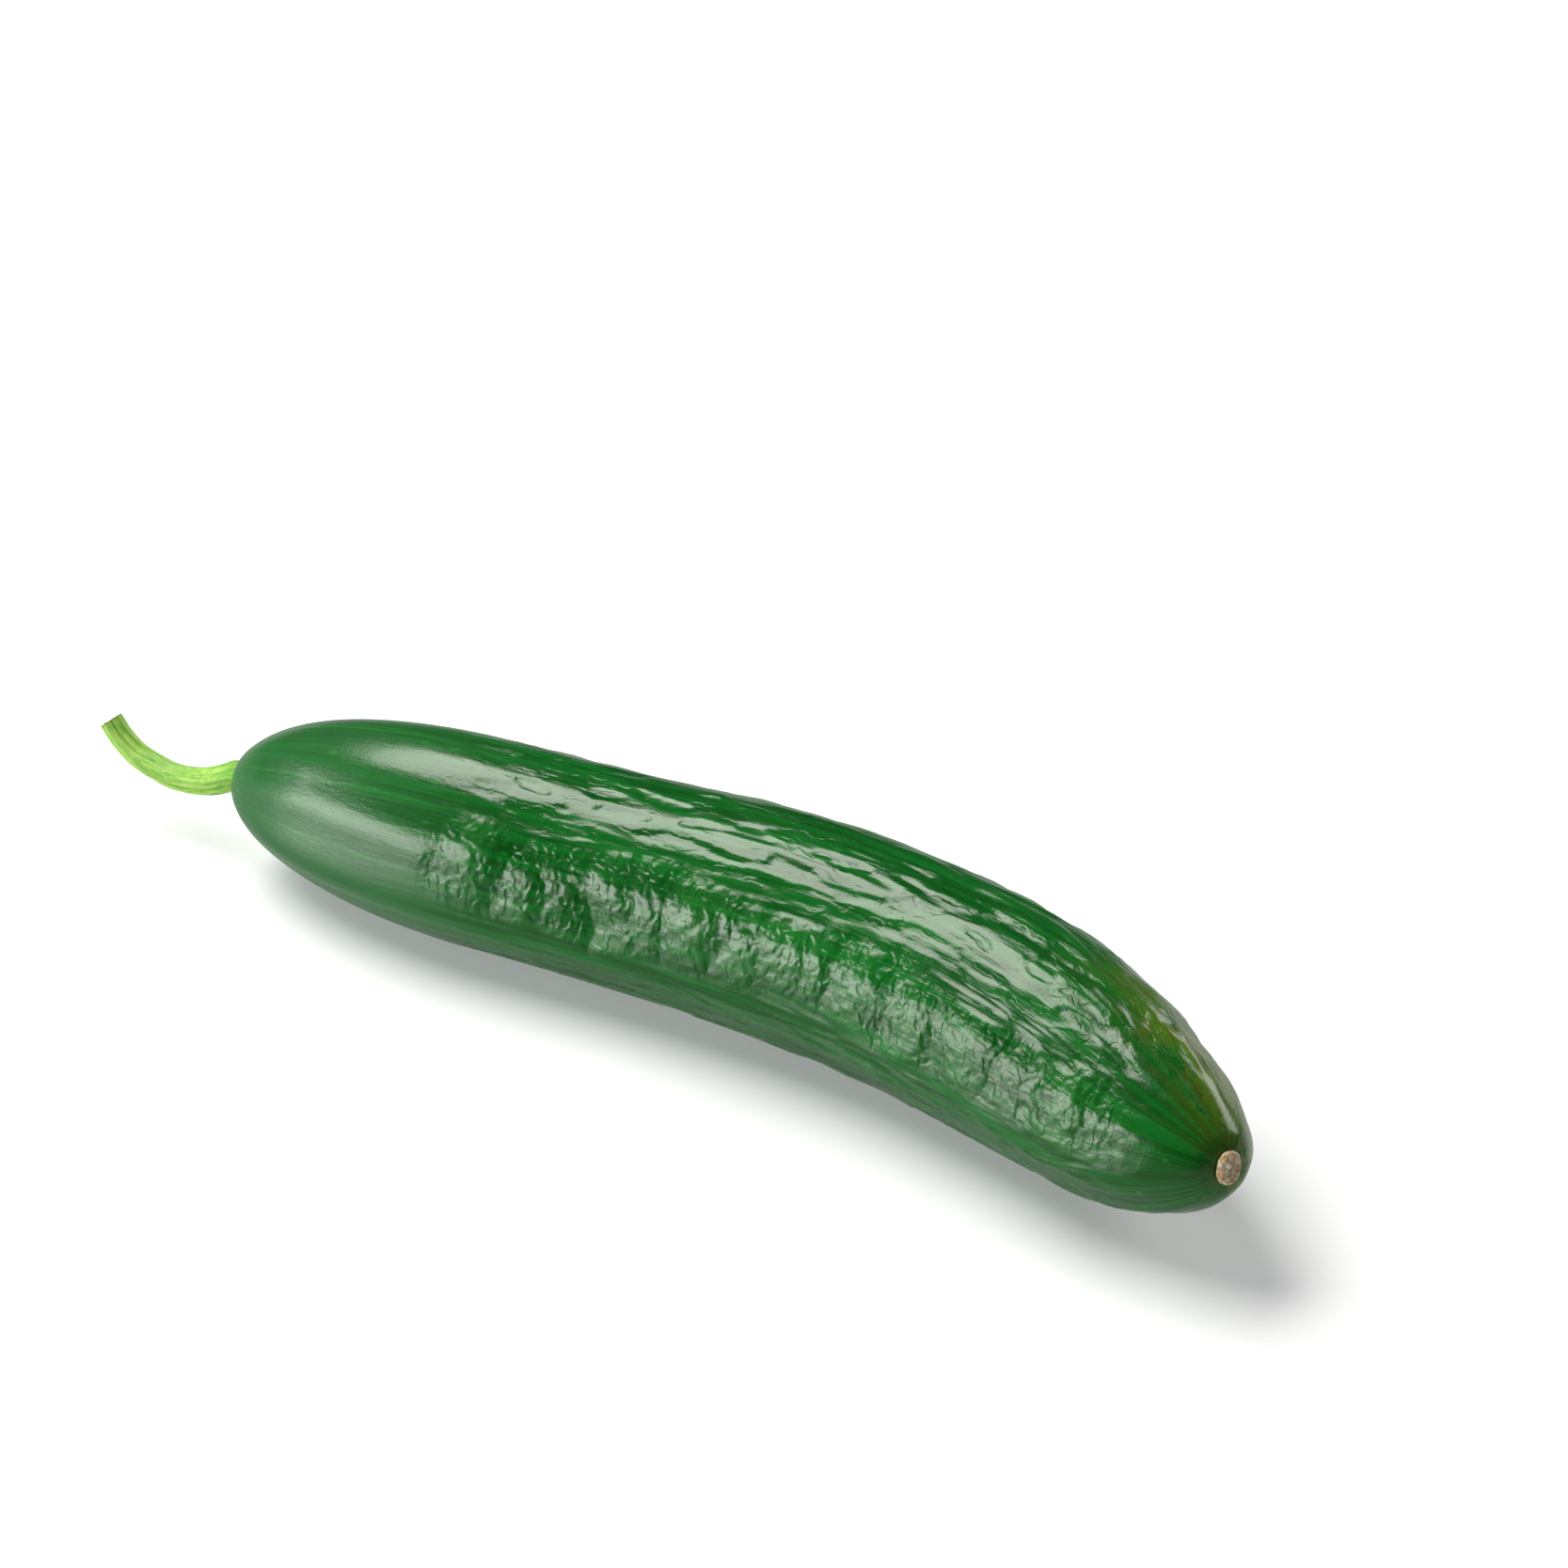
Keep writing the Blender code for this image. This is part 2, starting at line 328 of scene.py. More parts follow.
class Shader:
    """A material or a node group, built one named node at a time."""

    def __init__(self, tree: bpy.types.NodeTree) -> None:
        """Works on a node tree."""
        self.tree = tree

    def feed(self, socket: Socket, value: object) -> None:
        """Links a socket into another, or sets its value."""
        if isinstance(value, Socket):
            self.tree.links.new(value, socket)
        else:
            socket.default_value = value

    def feed_all(self, node: bpy.types.Node, values: dict[str, object]) -> None:
        """Feeds a node's inputs by name."""
        for name, value in values.items():
            self.feed(node.inputs[name], value)

    def node(
        self, kind: str, values: dict[str, object] | None = None, **settings: object
    ) -> bpy.types.Node:
        """Adds a node, sets its properties and feeds its inputs."""
        node = self.tree.nodes.new(kind)
        for name, value in settings.items():
            setattr(node, name, value)
        self.feed_all(node, values or {})
        return node

    def math(self, operation: str, *values: object) -> Socket:
        """One sum on up to three values."""
        node = self.node("ShaderNodeMath", operation=operation)
        for socket, value in zip(node.inputs, values):
            self.feed(socket, value)
        return node.outputs[0]

    def times(self, value: object, *others: object) -> Socket:
        """The product of two values or more."""
        for other in others:
            value = self.math("MULTIPLY", value, other)
        return value

    def vector(self, operation: str, *values: object) -> Socket:
        """One sum on vectors. A scale's factor comes second."""
        node = self.node("ShaderNodeVectorMath", operation=operation)
        self.feed(node.inputs[0], values[0])
        if operation == "SCALE":
            self.feed(node.inputs["Scale"], values[1])
        elif len(values) > 1:
            self.feed(node.inputs[1], values[1])
        return node.outputs[0]

    def join(self, x: object, y: object, z: object) -> Socket:
        """A vector of three values."""
        node = self.node("ShaderNodeCombineXYZ")
        for socket, value in zip(node.inputs, (x, y, z)):
            self.feed(socket, value)
        return node.outputs[0]

    def split(self, vector: Socket) -> list[Socket]:
        """The three values of a vector."""
        node = self.node("ShaderNodeSeparateXYZ")
        self.feed(node.inputs[0], vector)
        return list(node.outputs)

    def noise(self, vector: object, scale: float, detail: float, rough: float = 0.5) -> Socket:
        """Smooth noise, 0 to 1."""
        values = {"Vector": vector, "Scale": scale, "Detail": detail, "Roughness": rough}
        return self.node("ShaderNodeTexNoise", values).outputs[0]

    def warp(self, vector: object, scale: float, reach: float) -> Socket:
        """A place moved by noise, up to half the reach each way along each axis."""
        node = self.node("ShaderNodeTexNoise", {"Vector": vector, "Scale": scale})
        away = self.vector("SUBTRACT", node.outputs["Color"], (0.5, 0.5, 0.5))
        return self.vector("ADD", vector, self.vector("SCALE", away, reach))

    def ramp(self, value: object, start: object, end: object) -> Socket:
        """0 at start, 1 at end, and a smooth rise between. End may be the smaller one."""
        values = {"Value": value, "From Min": start, "From Max": end}
        node = self.node("ShaderNodeMapRange", values, interpolation_type="SMOOTHSTEP", clamp=True)
        return node.outputs[0]

    def lay(self, under: object, over: object, amount: object) -> Socket:
        """One colour over another."""
        node = self.node("ShaderNodeMix", data_type="RGBA")
        self.feed(node.inputs[0], amount)
        self.feed(node.inputs[6], under)
        self.feed(node.inputs[7], over)
        return node.outputs[2]

    def between(self, low: float, high: float, amount: object) -> Socket:
        """A value between low, at amount 0, and high, at amount 1."""
        return self.math("MULTIPLY_ADD", amount, high - low, low)

    def group(self, tree: bpy.types.NodeTree, **values: object) -> Socket:
        """Places a node group, with its inputs fed by name, and gives its first output."""
        node = self.node("ShaderNodeGroup")
        node.node_tree = tree
        for name, value in values.items():
            self.feed(node.inputs[name.capitalize()], value)
        return node.outputs[0]

    def bump(
        self, height: Socket, strength: float, distance: float, under: Socket | None = None
    ) -> Socket:
        """A normal from a height, over another normal where one is given."""
        values = {"Height": height, "Strength": strength, "Distance": distance}
        node = self.node("ShaderNodeBump", values)
        if under is not None:
            self.feed(node.inputs["Normal"], under)
        return node.outputs[0]


@dataclass(frozen=True)
class Streaks:
    """Streaks that run along X: their length, their number around it, their fade and their shift."""

    along: float
    around: float
    start: float
    end: float
    shift: float = 0.0


@dataclass(frozen=True)
class Spots:
    """Small round spots: the cell each lies in, its size in that cell and the share of cells with one."""

    cell: float
    size: float
    share: float


@dataclass(frozen=True)
class Lines:
    """Thin lines that run along X: how many, how wide and how wavy they are."""

    count: float
    width: float
    wave: float


Pattern = Streaks | Spots | Lines


def new_group(name: str, pattern: type[Pattern]) -> tuple[Shader, dict[str, Socket], Socket]:
    """An empty node group for one kind of pattern.

    Args:
        name: The group's name.
        pattern: The kind of pattern. Each of its fields becomes an input, beside the place.

    Returns:
        The shader that builds it, its inputs by name, and the socket that takes its mask.
    """
    tree = bpy.data.node_groups.new(name, "ShaderNodeTree")
    tree.interface.new_socket(name="Place", in_out="INPUT", socket_type="NodeSocketVector")
    for item in fields(pattern):
        label = item.name.capitalize()
        tree.interface.new_socket(name=label, in_out="INPUT", socket_type="NodeSocketFloat")
    tree.interface.new_socket(name="Mask", in_out="OUTPUT", socket_type="NodeSocketFloat")
    shader = Shader(tree)
    taken = shader.node("NodeGroupInput")
    given = shader.node("NodeGroupOutput")
    return shader, {socket.name: socket for socket in taken.outputs}, given.inputs["Mask"]


class Effects:
    """The patterns that more than one finish uses, one node group for each kind."""

    def __init__(self) -> None:
        """Builds each group once."""
        self.trees = {Streaks: self._streaks(), Spots: self._spots(), Lines: self._lines()}

    def mask(self, shader: Shader, place: object, pattern: Pattern) -> Socket:
        """Where a pattern lies: 0 beside it and 1 on it."""
        return shader.group(self.trees[type(pattern)], place=place, **asdict(pattern))

    @staticmethod
    def _streaks() -> bpy.types.NodeTree:
        """The streaks. They follow the turn around X, so they meet at the ends."""
        shader, taken, given = new_group("lengthwise_streaks", Streaks)
        x, y, z = shader.split(taken["Place"])
        turn = shader.vector("NORMALIZE", shader.join(0.0, y, z))
        turn = shader.vector("SCALE", turn, taken["Around"])
        along = shader.math("DIVIDE", x, taken["Along"])
        place = shader.vector("ADD", turn, shader.join(along, taken["Shift"], taken["Shift"]))
        value = shader.noise(place, 1.0, 3.0, 0.55)
        shader.feed(given, shader.ramp(value, taken["Start"], taken["End"]))
        return shader.tree

    @staticmethod
    def _spots() -> bpy.types.NodeTree:
        """The spots, in some of the cells of a scatter."""
        shader, taken, given = new_group("scattered_spots", Spots)
        place = shader.vector("SCALE", taken["Place"], shader.math("DIVIDE", 1.0, taken["Cell"]))
        cells = shader.node("ShaderNodeTexVoronoi", {"Vector": place, "Scale": 1.0})
        core = shader.times(taken["Size"], 0.4)
        near = shader.ramp(cells.outputs["Distance"], taken["Size"], core)
        chosen = shader.math("LESS_THAN", shader.split(cells.outputs["Color"])[0], taken["Share"])
        shader.feed(given, shader.times(near, chosen))
        return shader.tree

    @staticmethod
    def _lines() -> bpy.types.NodeTree:
        """The lines, at equal turns around X."""
        shader, taken, given = new_group("lengthwise_lines", Lines)
        _, y, z = shader.split(taken["Place"])
        wobble = shader.math("SUBTRACT", shader.noise(taken["Place"], 0.06, 2.0), 0.5)
        turn = shader.times(shader.math("ARCTAN2", y, z), taken["Count"])
        turn = shader.math("ADD", turn, shader.times(wobble, taken["Wave"]))
        crest = shader.math("COSINE", turn)
        edge = shader.math("SUBTRACT", 1.0, taken["Width"])
        shader.feed(given, shader.ramp(crest, edge, 1.0))
        return shader.tree


@dataclass(frozen=True)
class Finish:
    """What every finish has: a material of its own with a Principled shader.

    Lengths are in millimetres on the straight piece. A pair is a ramp's start and end; a range is what
    0 and 1 stand for; a grain is a noise's scale, detail and roughness; a bump is its strength and its
    distance in metres.
    """

    effects: Effects
    name: str = "finish"

    def start(self) -> tuple[Shader, bpy.types.Node, bpy.types.Material]:
        """A new material, its builder and its shader."""
        made = bpy.data.materials.new(self.name)
        made.use_nodes = True
        return Shader(made.node_tree), made.node_tree.nodes[PRINCIPLED], made

    @staticmethod
    def straight_place(shader: Shader) -> Socket:
        """The place on the straight piece, in millimetres."""
        stored = shader.node("ShaderNodeAttribute", attribute_name=STRAIGHT)
        return shader.vector("SCALE", stored.outputs["Vector"], 1 / MM)


@dataclass(frozen=True)
class Skin(Finish):
    """The waxy green skin: greyer on the neck, streaked with yellow at the flower end."""

    name: str = "skin"
    deep: Colour = (0.0002, 0.068, 0.004, 1.0)
    green: Colour = (0.0012, 0.125, 0.011, 1.0)
    pale: Colour = (0.022, 0.210, 0.026, 1.0)
    bloom: Colour = (0.026, 0.130, 0.038, 1.0)
    rib_line: Colour = (0.024, 0.220, 0.030, 1.0)
    yellow: Colour = (0.115, 0.190, 0.005, 1.0)
    brown: Colour = (0.120, 0.070, 0.012, 1.0)
    frost: Colour = (0.170, 0.230, 0.130, 1.0)

    neck: Pair = (78.0, 12.0)
    broad_streaks: Streaks = Streaks(34.0, 11.0, 0.36, 0.66)
    fine_streaks: Streaks = Streaks(22.0, 42.0, 0.52, 0.72, 7.0)
    fine_fade: Pair = (226.0, 185.0)
    fine_amount: float = 0.35
    crest: Pair = (0.1, 1.0)
    crest_amount: float = 0.30
    cloud_grain: Pair = (0.09, 3.0)
    bloom_range: Pair = (0.55, 1.15)
    bloom_amount: float = 0.75
    rib_lines: Lines = Lines(9.0, 0.03, 1.2)
    rib_fade: Pair = (105.0, 30.0)
    rib_amount: float = 0.35
    spots: Spots = Spots(2.6, 0.24, 0.22)
    spot_squash: Triple = (0.45, 1.0, 1.0)
    spot_amount: float = 0.55

    tip: Pair = (176.0, 222.0)
    sunned_side: Pair = (-7.0, 9.0)
    sunned_range: Pair = (0.02, 1.0)
    fray_scale: float = 0.50
    fray_reach: float = 4.0
    veins: Streaks = Streaks(15.0, 4.5, 0.36, 0.58, 3.0)
    stains: Streaks = Streaks(5.0, 6.0, 0.52, 0.64, 11.0)
    stain_amount: float = 0.8
    wisps: Streaks = Streaks(6.0, 11.0, 0.52, 0.70, 5.0)
    wisp_amount: float = 0.55

    wear_grain: Pair = (0.35, 3.0)
    rough_range: Pair = (0.15, 0.27)
    neck_rough: float = 0.06
    ior: float = 1.43
    coat: float = 0.15
    coat_rough: float = 0.10

    wave_scale: float = 0.22
    wave_reach: float = 3.2
    slit_scale: Triple = (0.14, 0.62, 0.62)
    slit_cut: Pair = (0.50, 0.68)
    slit_belt: Pair = (0.0, -0.8)
    slit_share: float = 0.5
    worm_scale: Triple = (0.66, 0.52, 0.52)
    worm_cut: Pair = (0.28, 0.72)
    worm_belt: Pair = (0.0, 0.8)
    worm_bump: Pair = (1.0, 0.00012)
    thread_scale: Triple = (0.12, 1.3, 1.3)
    thread_grain: Triple = (1.0, 3.0, 0.6)
    thread_fade: Pair = (226.0, 205.0)
    thread_growth: Pair = (120.0, 175.0)
    thread_range: Pair = (1.0, 2.6)
    thread_bump: Pair = (0.4, 0.00012)
    pore_grain: Triple = (1.3, 3.0, 0.6)
    pore_bump: Pair = (0.35, 0.00010)

    def material(self) -> bpy.types.Material:
        """Builds the material."""
        shader, skin, made = self.start()
        place = self.straight_place(shader)
        neck = shader.ramp(shader.split(place)[0], *self.neck)
        colour = self._sunned(shader, place, self._greens(shader, place, neck))
        spots = self.effects.mask(shader, shader.vector("MULTIPLY", place, self.spot_squash), self.spots)
        colour = shader.lay(colour, self.pale, shader.times(spots, self.spot_amount))
        rough = shader.between(*self.rough_range, shader.noise(place, *self.wear_grain))
        values = {
            "Base Color": colour,
            "Roughness": shader.math("ADD", rough, shader.times(neck, self.neck_rough)),
            "IOR": self.ior,
            "Coat Weight": self.coat,
            "Coat Roughness": self.coat_rough,
            "Normal": self._normal(shader, place),
        }
        shader.feed_all(skin, values)
        return made

    def _greens(self, shader: Shader, place: Socket, neck: Socket) -> Socket:
        """The greens of the whole fruit, with the bloom on its neck."""
        x, _, _ = shader.split(place)
        colour = shader.lay(self.deep, self.green, self.effects.mask(shader, place, self.broad_streaks))
        fine = self.effects.mask(shader, place, self.fine_streaks)
        fine = shader.times(fine, shader.ramp(x, *self.fine_fade), self.fine_amount)
        colour = shader.lay(colour, self.pale, fine)
        relief = shader.node("ShaderNodeAttribute", attribute_name=RELIEF).outputs["Fac"]
        crest = shader.times(shader.ramp(relief, *self.crest), self.crest_amount)
        colour = shader.lay(colour, self.pale, crest)
        cloud = shader.between(*self.bloom_range, shader.noise(place, *self.cloud_grain))
        colour = shader.lay(colour, self.bloom, shader.times(neck, cloud, self.bloom_amount))
        line_fade = shader.times(shader.ramp(x, *self.rib_fade), self.rib_amount)
        line = shader.times(self.effects.mask(shader, place, self.rib_lines), line_fade)
        return shader.lay(colour, self.rib_line, line)

    def _sunned(self, shader: Shader, place: Socket, colour: Socket) -> Socket:
        """The yellow, brown and frosted streaks, on the side of the flower end that the sun reached."""
        x, y, _ = shader.split(place)
        side = shader.between(*self.sunned_range, shader.ramp(y, *self.sunned_side))
        sunned = shader.times(shader.ramp(x, *self.tip), side)
        frayed = shader.warp(place, self.fray_scale, self.fray_reach)
        veins = shader.times(self.effects.mask(shader, frayed, self.veins), sunned)
        colour = shader.lay(colour, self.yellow, veins)
        stains = self.effects.mask(shader, frayed, self.stains)
        colour = shader.lay(colour, self.brown, shader.times(stains, sunned, self.stain_amount))
        wisps = self.effects.mask(shader, frayed, self.wisps)
        return shader.lay(colour, self.frost, shader.times(wisps, sunned, self.wisp_amount))

    def _normal(self, shader: Shader, place: Socket) -> Socket:
        """The finest relief: worms among the blisters, slits between them, threads and pores."""
        x, _, _ = shader.split(place)
        belt = shader.node("ShaderNodeAttribute", attribute_name=BELT).outputs["Fac"]
        wavy = shader.warp(place, self.wave_scale, self.wave_reach)
        slit = shader.noise(shader.vector("MULTIPLY", wavy, self.slit_scale), 1.0, 1.0)
        slit = shader.times(shader.ramp(slit, *self.slit_cut), shader.ramp(belt, *self.slit_belt))
        worm = shader.noise(shader.vector("MULTIPLY", wavy, self.worm_scale), 1.0, 0.0)
        worm = shader.times(shader.ramp(worm, *self.worm_cut), shader.ramp(belt, *self.worm_belt))
        height = shader.math("SUBTRACT", worm, shader.times(slit, self.slit_share))
        normal = shader.bump(height, *self.worm_bump)
        threads = shader.noise(shader.vector("MULTIPLY", place, self.thread_scale), *self.thread_grain)
        growth = shader.between(*self.thread_range, shader.ramp(x, *self.thread_growth))
        threads = shader.times(threads, shader.ramp(x, *self.thread_fade), growth)
        normal = shader.bump(threads, *self.thread_bump, normal)
        return shader.bump(shader.noise(place, *self.pore_grain), *self.pore_bump, normal)


@dataclass(frozen=True)
class StalkSkin(Finish):
    """The light green rind of the stalk, lined along its length, and olive where it was cut."""

    name: str = "stalk"
    length: float = 34.0
    green: Colour = (0.220, 0.480, 0.045, 1.0)
    light: Colour = (0.400, 0.640, 0.120, 1.0)
    dark: Colour = (0.075, 0.300, 0.024, 1.0)
    olive: Colour = (0.200, 0.210, 0.050, 1.0)
    streaks: Streaks = Streaks(9.0, 4.2, 0.40, 0.60)
    lines: Lines = Lines(10.0, 0.45, 1.5)
    line_amount: float = 0.45
    blotches: Streaks = Streaks(2.6, 2.6, 0.50, 0.62, 6.0)
    blotch_amount: float = 0.45
    spots: Spots = Spots(1.1, 0.30, 0.25)
    spot_amount: float = 0.6
    foot: Pair = (6.0, 1.0)
    foot_amount: float = 0.5
    cut_fade: float = 0.35
    rough_range: Pair = (0.45, 0.62)
    glow: float = 0.12
    glow_radius: Triple = (0.6, 1.0, 0.3)
    glow_scale: float = 0.0015
    grain_stretch: Triple = (0.5, 2.4, 2.4)
    grain: Pair = (1.0, 3.0)
    grain_bump: Pair = (0.5, 0.00015)

    def material(self) -> bpy.types.Material:
        """Builds the material."""
        shader, rind, made = self.start()
        place = self.straight_place(shader)
        x, _, _ = shader.split(place)
        streak = self.effects.mask(shader, place, self.streaks)
        colour = shader.lay(self.green, self.light, streak)
        for mask, over, amount in (
            (self.effects.mask(shader, place, self.lines), self.dark, self.line_amount),
            (self.effects.mask(shader, place, self.blotches), self.dark, self.blotch_amount),
            (self.effects.mask(shader, place, self.spots), self.light, self.spot_amount),
            (shader.ramp(x, *self.foot), self.dark, self.foot_amount),
        ):
            colour = shader.lay(colour, over, shader.times(mask, amount))
        cut = shader.ramp(x, self.length - self.cut_fade, self.length)
        grain = shader.noise(shader.vector("MULTIPLY", place, self.grain_stretch), *self.grain)
        values = {
            "Base Color": shader.lay(colour, self.olive, cut),
            "Roughness": shader.between(*self.rough_range, streak),
            "Subsurface Weight": self.glow,
            "Subsurface Radius": self.glow_radius,
            "Subsurface Scale": self.glow_scale,
            "Normal": shader.bump(grain, *self.grain_bump),
        }
        shader.feed_all(rind, values)
        return made


@dataclass(frozen=True)
class Cork(Finish):
    """The dry cork of the flower scar, cracked and browner at its rim."""

    name: str = "scar"
    tan: Colour = (0.620, 0.450, 0.240, 1.0)
    grey: Colour = (0.760, 0.700, 0.560, 1.0)
    brown: Colour = (0.230, 0.110, 0.035, 1.0)
    radius: float = 2.7
    patch_grain: Pair = (0.7, 3.0)
    patch: Pair = (0.40, 0.62)
    rim: Pair = (0.70, 1.02)
    rim_amount: float = 0.45
    crack_scale: float = 0.85
    crack: Pair = (0.10, 0.0)
    crack_amount: float = 0.6
    spots: Spots = Spots(0.6, 0.35, 0.35)
    spot_amount: float = 0.2
    rough: float = 0.88
    grain: Triple = (2.6, 4.0, 0.6)
    grain_bump: Pair = (0.7, 0.00018)

    def material(self) -> bpy.types.Material:
        """Builds the material."""
        shader, cork, made = self.start()
        place = self.straight_place(shader)
        _, y, z = shader.split(place)
        patch = shader.ramp(shader.noise(place, *self.patch_grain), *self.patch)
        colour = shader.lay(self.tan, self.grey, patch)
        out = shader.vector("LENGTH", shader.join(0.0, y, z)).node
        rim = shader.ramp(out.outputs["Value"], *(self.radius * share for share in self.rim))
        values = {"Vector": place, "Scale": self.crack_scale}
        cracks = shader.node("ShaderNodeTexVoronoi", values, feature="DISTANCE_TO_EDGE")
        crack = shader.ramp(cracks.outputs["Distance"], *self.crack)
        spots = self.effects.mask(shader, place, self.spots)
        for mask, amount in (
            (rim, self.rim_amount),
            (crack, self.crack_amount),
            (spots, self.spot_amount),
        ):
            colour = shader.lay(colour, self.brown, shader.times(mask, amount))
        height = shader.math("SUBTRACT", shader.noise(place, *self.grain), crack)
        normal = shader.bump(height, *self.grain_bump)
        shader.feed_all(cork, {"Base Color": colour, "Roughness": self.rough, "Normal": normal})
        return made


@dataclass
class Fruit:
    """The fruit: a bent body with ribs, bumps on its three chambers and wrinkles between them."""

    shape: FruitShape = field(default_factory=FruitShape)
    rings: int = 372
    sides: int = 256
    outline_steps: int = 6000
    stalk_rim: float = 0.0036
    scar_rim: float = 0.0032
    stalk_dimple: float = 0.0011
    scar_dimple: float = 0.0006
    dimple_width: float = 0.0016

    warp_cell: Triple = (14.0, 9.0, 9.0)
    warp_shifts: Triple = (31.0, 48.0, 65.0)
    warp_reach: Triple = (2.2, 1.6, 1.6)
    body_ends: Pair = (0.31, 0.86)
    body_fade: float = 0.12
    body_warp: float = 0.03
    chambers: int = 3
    chamber_turn: float = math.radians(68)
    chamber_warp: float = 0.6
    bumpy: Rise = Rise(0.50, 0.35)
    streaky: Rise = Rise(0.62, -0.30)

    blister: float = 0.00048
    blisters: Grain = Grain((9.5, 26.0, 26.0), 3.4)
    wrinkle: float = 0.00017
    wrinkles: Grain = Grain((1.9, 2.4, 2.4), 8.0)
    fine_wrinkles: Grain = Grain((1.3, 1.6, 1.6), 12.0)
    fine_wrinkle_share: float = 0.6
    wrinkle_range: Pair = (0.3, 0.7)
    slit: float = 0.00024
    slits: Grain = Grain((10.0, 2.6, 2.6), 21.0)
    slit_cut: Rise = Rise(0.08, 0.20)
    threads: Grain = Grain((13.0, 2.4, 2.4), 27.0)
    thread_share: float = 0.6
    fine_thread: float = 0.00024
    fine_threads: Grain = Grain((15.0, 1.5, 1.5), 33.0)
    fine_range: Pair = (0.5, 0.9)
    fine_growth: Rise = Rise(0.5, 0.15)
    fine_ends: Pair = (0.28, 0.88)
    fine_fade: float = 0.10

    neck_share: float = 0.5
    ribs: int = 9
    rib_depth: float = 0.00022
    neck_rib_depth: float = 0.00013
    rib_warp: float = 0.25
    rib_growth: Rise = Rise(0.005, 0.011)
    sway: float = 0.00040
    sways: Grain = Grain((42.0, 26.0, 26.0), 40.0)
    sway_growth: Rise = Rise(0.006, 0.010)
    side_depth: float = 0.0009
    neck_side_more: float = 0.7
    side_turn: float = math.radians(55)
    neck_side_turn: float = math.radians(14)
    side_growth: Rise = Rise(0.006, 0.012)
    side_fade: Rise = Rise(math.radians(140), -0.7)

    def meridian(self) -> tuple[Array, Array]:
        """The rings' distances and radii, evenly spaced along the outline, with a dimple at each end."""
        length = self.shape.length()
        dense = length * (1 - np.cos(np.linspace(0, math.pi, self.outline_steps))) / 2
        radius = self.shape.radius(dense)
        near_half = dense < length / 2
        rim = np.where(near_half, self.stalk_rim, self.scar_rim)
        depth = np.where(near_half, self.stalk_dimple, -self.scar_dimple)
        dense = dense + depth * np.exp(-(((radius - rim) / self.dimple_width) ** 2))
        dense, radius = dense[radius >= rim], radius[radius >= rim]
        walked = np.r_[0, np.cumsum(np.hypot(np.diff(dense), np.diff(radius)))]
        even = np.linspace(0, walked[-1], self.rings + 1)
        return np.interp(even, walked, dense), np.interp(even, walked, radius)

    def _texture(self, share: Array, turn: Array, mm: Array, warp: Array) -> tuple[Array, Array]:
        """The bumps, wrinkles, slits and threads of the skin.

        Args:
            share: Each vertex's share of the length from the stalk.
            turn: Its turn around X, from the top towards the front.
            mm: Its place, in millimetres.
            warp: Its three slow noises, which bend the patterns.

        Returns:
            Each vertex's height, and its belt: 1 among the blisters, -1 among the slits.
        """
        warped = mm + warp * np.array(self.warp_reach)
        body = band(share + self.body_warp * warp[:, 1], *self.body_ends, self.body_fade)
        lean = self.chamber_warp * warp[:, 0]
        chamber = 0.5 + 0.5 * np.cos(self.chambers * (turn - self.chamber_turn) + lean)
        bumpy = body * self.bumpy.at(chamber)
        streaky = body * self.streaky.at(chamber)

        blisters = self.blisters.cells(warped)
        fine_wrinkles = self.fine_wrinkle_share * self.fine_wrinkles.smooth(warped)
        wrinkles = self.wrinkles.smooth(warped) + fine_wrinkles
        least, more = self.wrinkle_range
        wrinkled = (least + more * blisters) * wrinkles * self.wrinkle
        bumps = bumpy * (blisters * self.blister + wrinkled)
        slits = self.slit_cut.at(self.slits.smooth(warped))
        threads = self.threads.smooth(warped)
        streaks = streaky * (self.thread_share * threads - slits) * self.slit
        least, more = self.fine_range
        fine = self.fine_threads.smooth(warped) * (least + more * self.fine_growth.at(share))
        streaks += (1 - bumpy) * band(share, *self.fine_ends, self.fine_fade) * fine * self.fine_thread
        return bumps + streaks, bumpy - streaky

    def relief(self, places: Array) -> tuple[Array, Array, Array]:
        """How far the skin stands out of the smooth shape.

        Args:
            places: The straight fruit's vertices.

        Returns:
            Each vertex's height, that of the texture alone, about -1 to 1, and its belt.
        """
        share = places[:, 0] / self.shape.length()
        radius = np.hypot(places[:, 1], places[:, 2])
        turn = np.arctan2(-places[:, 1], places[:, 2])
        mm = places / MM
        warps = [Grain(self.warp_cell, shift).smooth(mm) for shift in self.warp_shifts]
        warp = np.stack(warps, axis=1)
        texture, belt = self._texture(share, turn, mm, warp)

        neck = share_left(share, self.neck_share)
        rib = self.rib_depth + (self.neck_rib_depth - self.rib_depth) * neck
        rib = rib * self.rib_growth.at(radius)
        ribs = rib * np.cos(self.ribs * (turn - math.pi) + self.rib_warp * warp[:, 1])
        sway = self.sway * self.sways.smooth(mm) * self.sway_growth.at(radius)
        side_middle = self.side_turn + self.neck_side_turn * neck
        sides = -self.side_depth * (1 + self.neck_side_more * neck)
        sides = sides * np.cos(self.chambers * (turn - side_middle))
        sides *= self.side_growth.at(radius) * self.side_fade.at(np.abs(turn))
        return texture + ribs + sway + sides, texture / self.blister, belt

    def build(self, finish: Skin) -> bpy.types.Object:
        """Models the fruit and dresses it.

        Args:
            finish: The skin's finish.

        Returns:
            The finished piece.
        """
        distance, radius = self.meridian()
        solid = Solid("fruit_skin", self.rings, self.sides)
        ring = solid.turn_on(distance, radius)
        places = solid.places()
        solid.keep(STRAIGHT, places)
        height, bumps, belt = self.relief(places)
        solid.keep(RELIEF, bumps)
        solid.keep(BELT, belt)

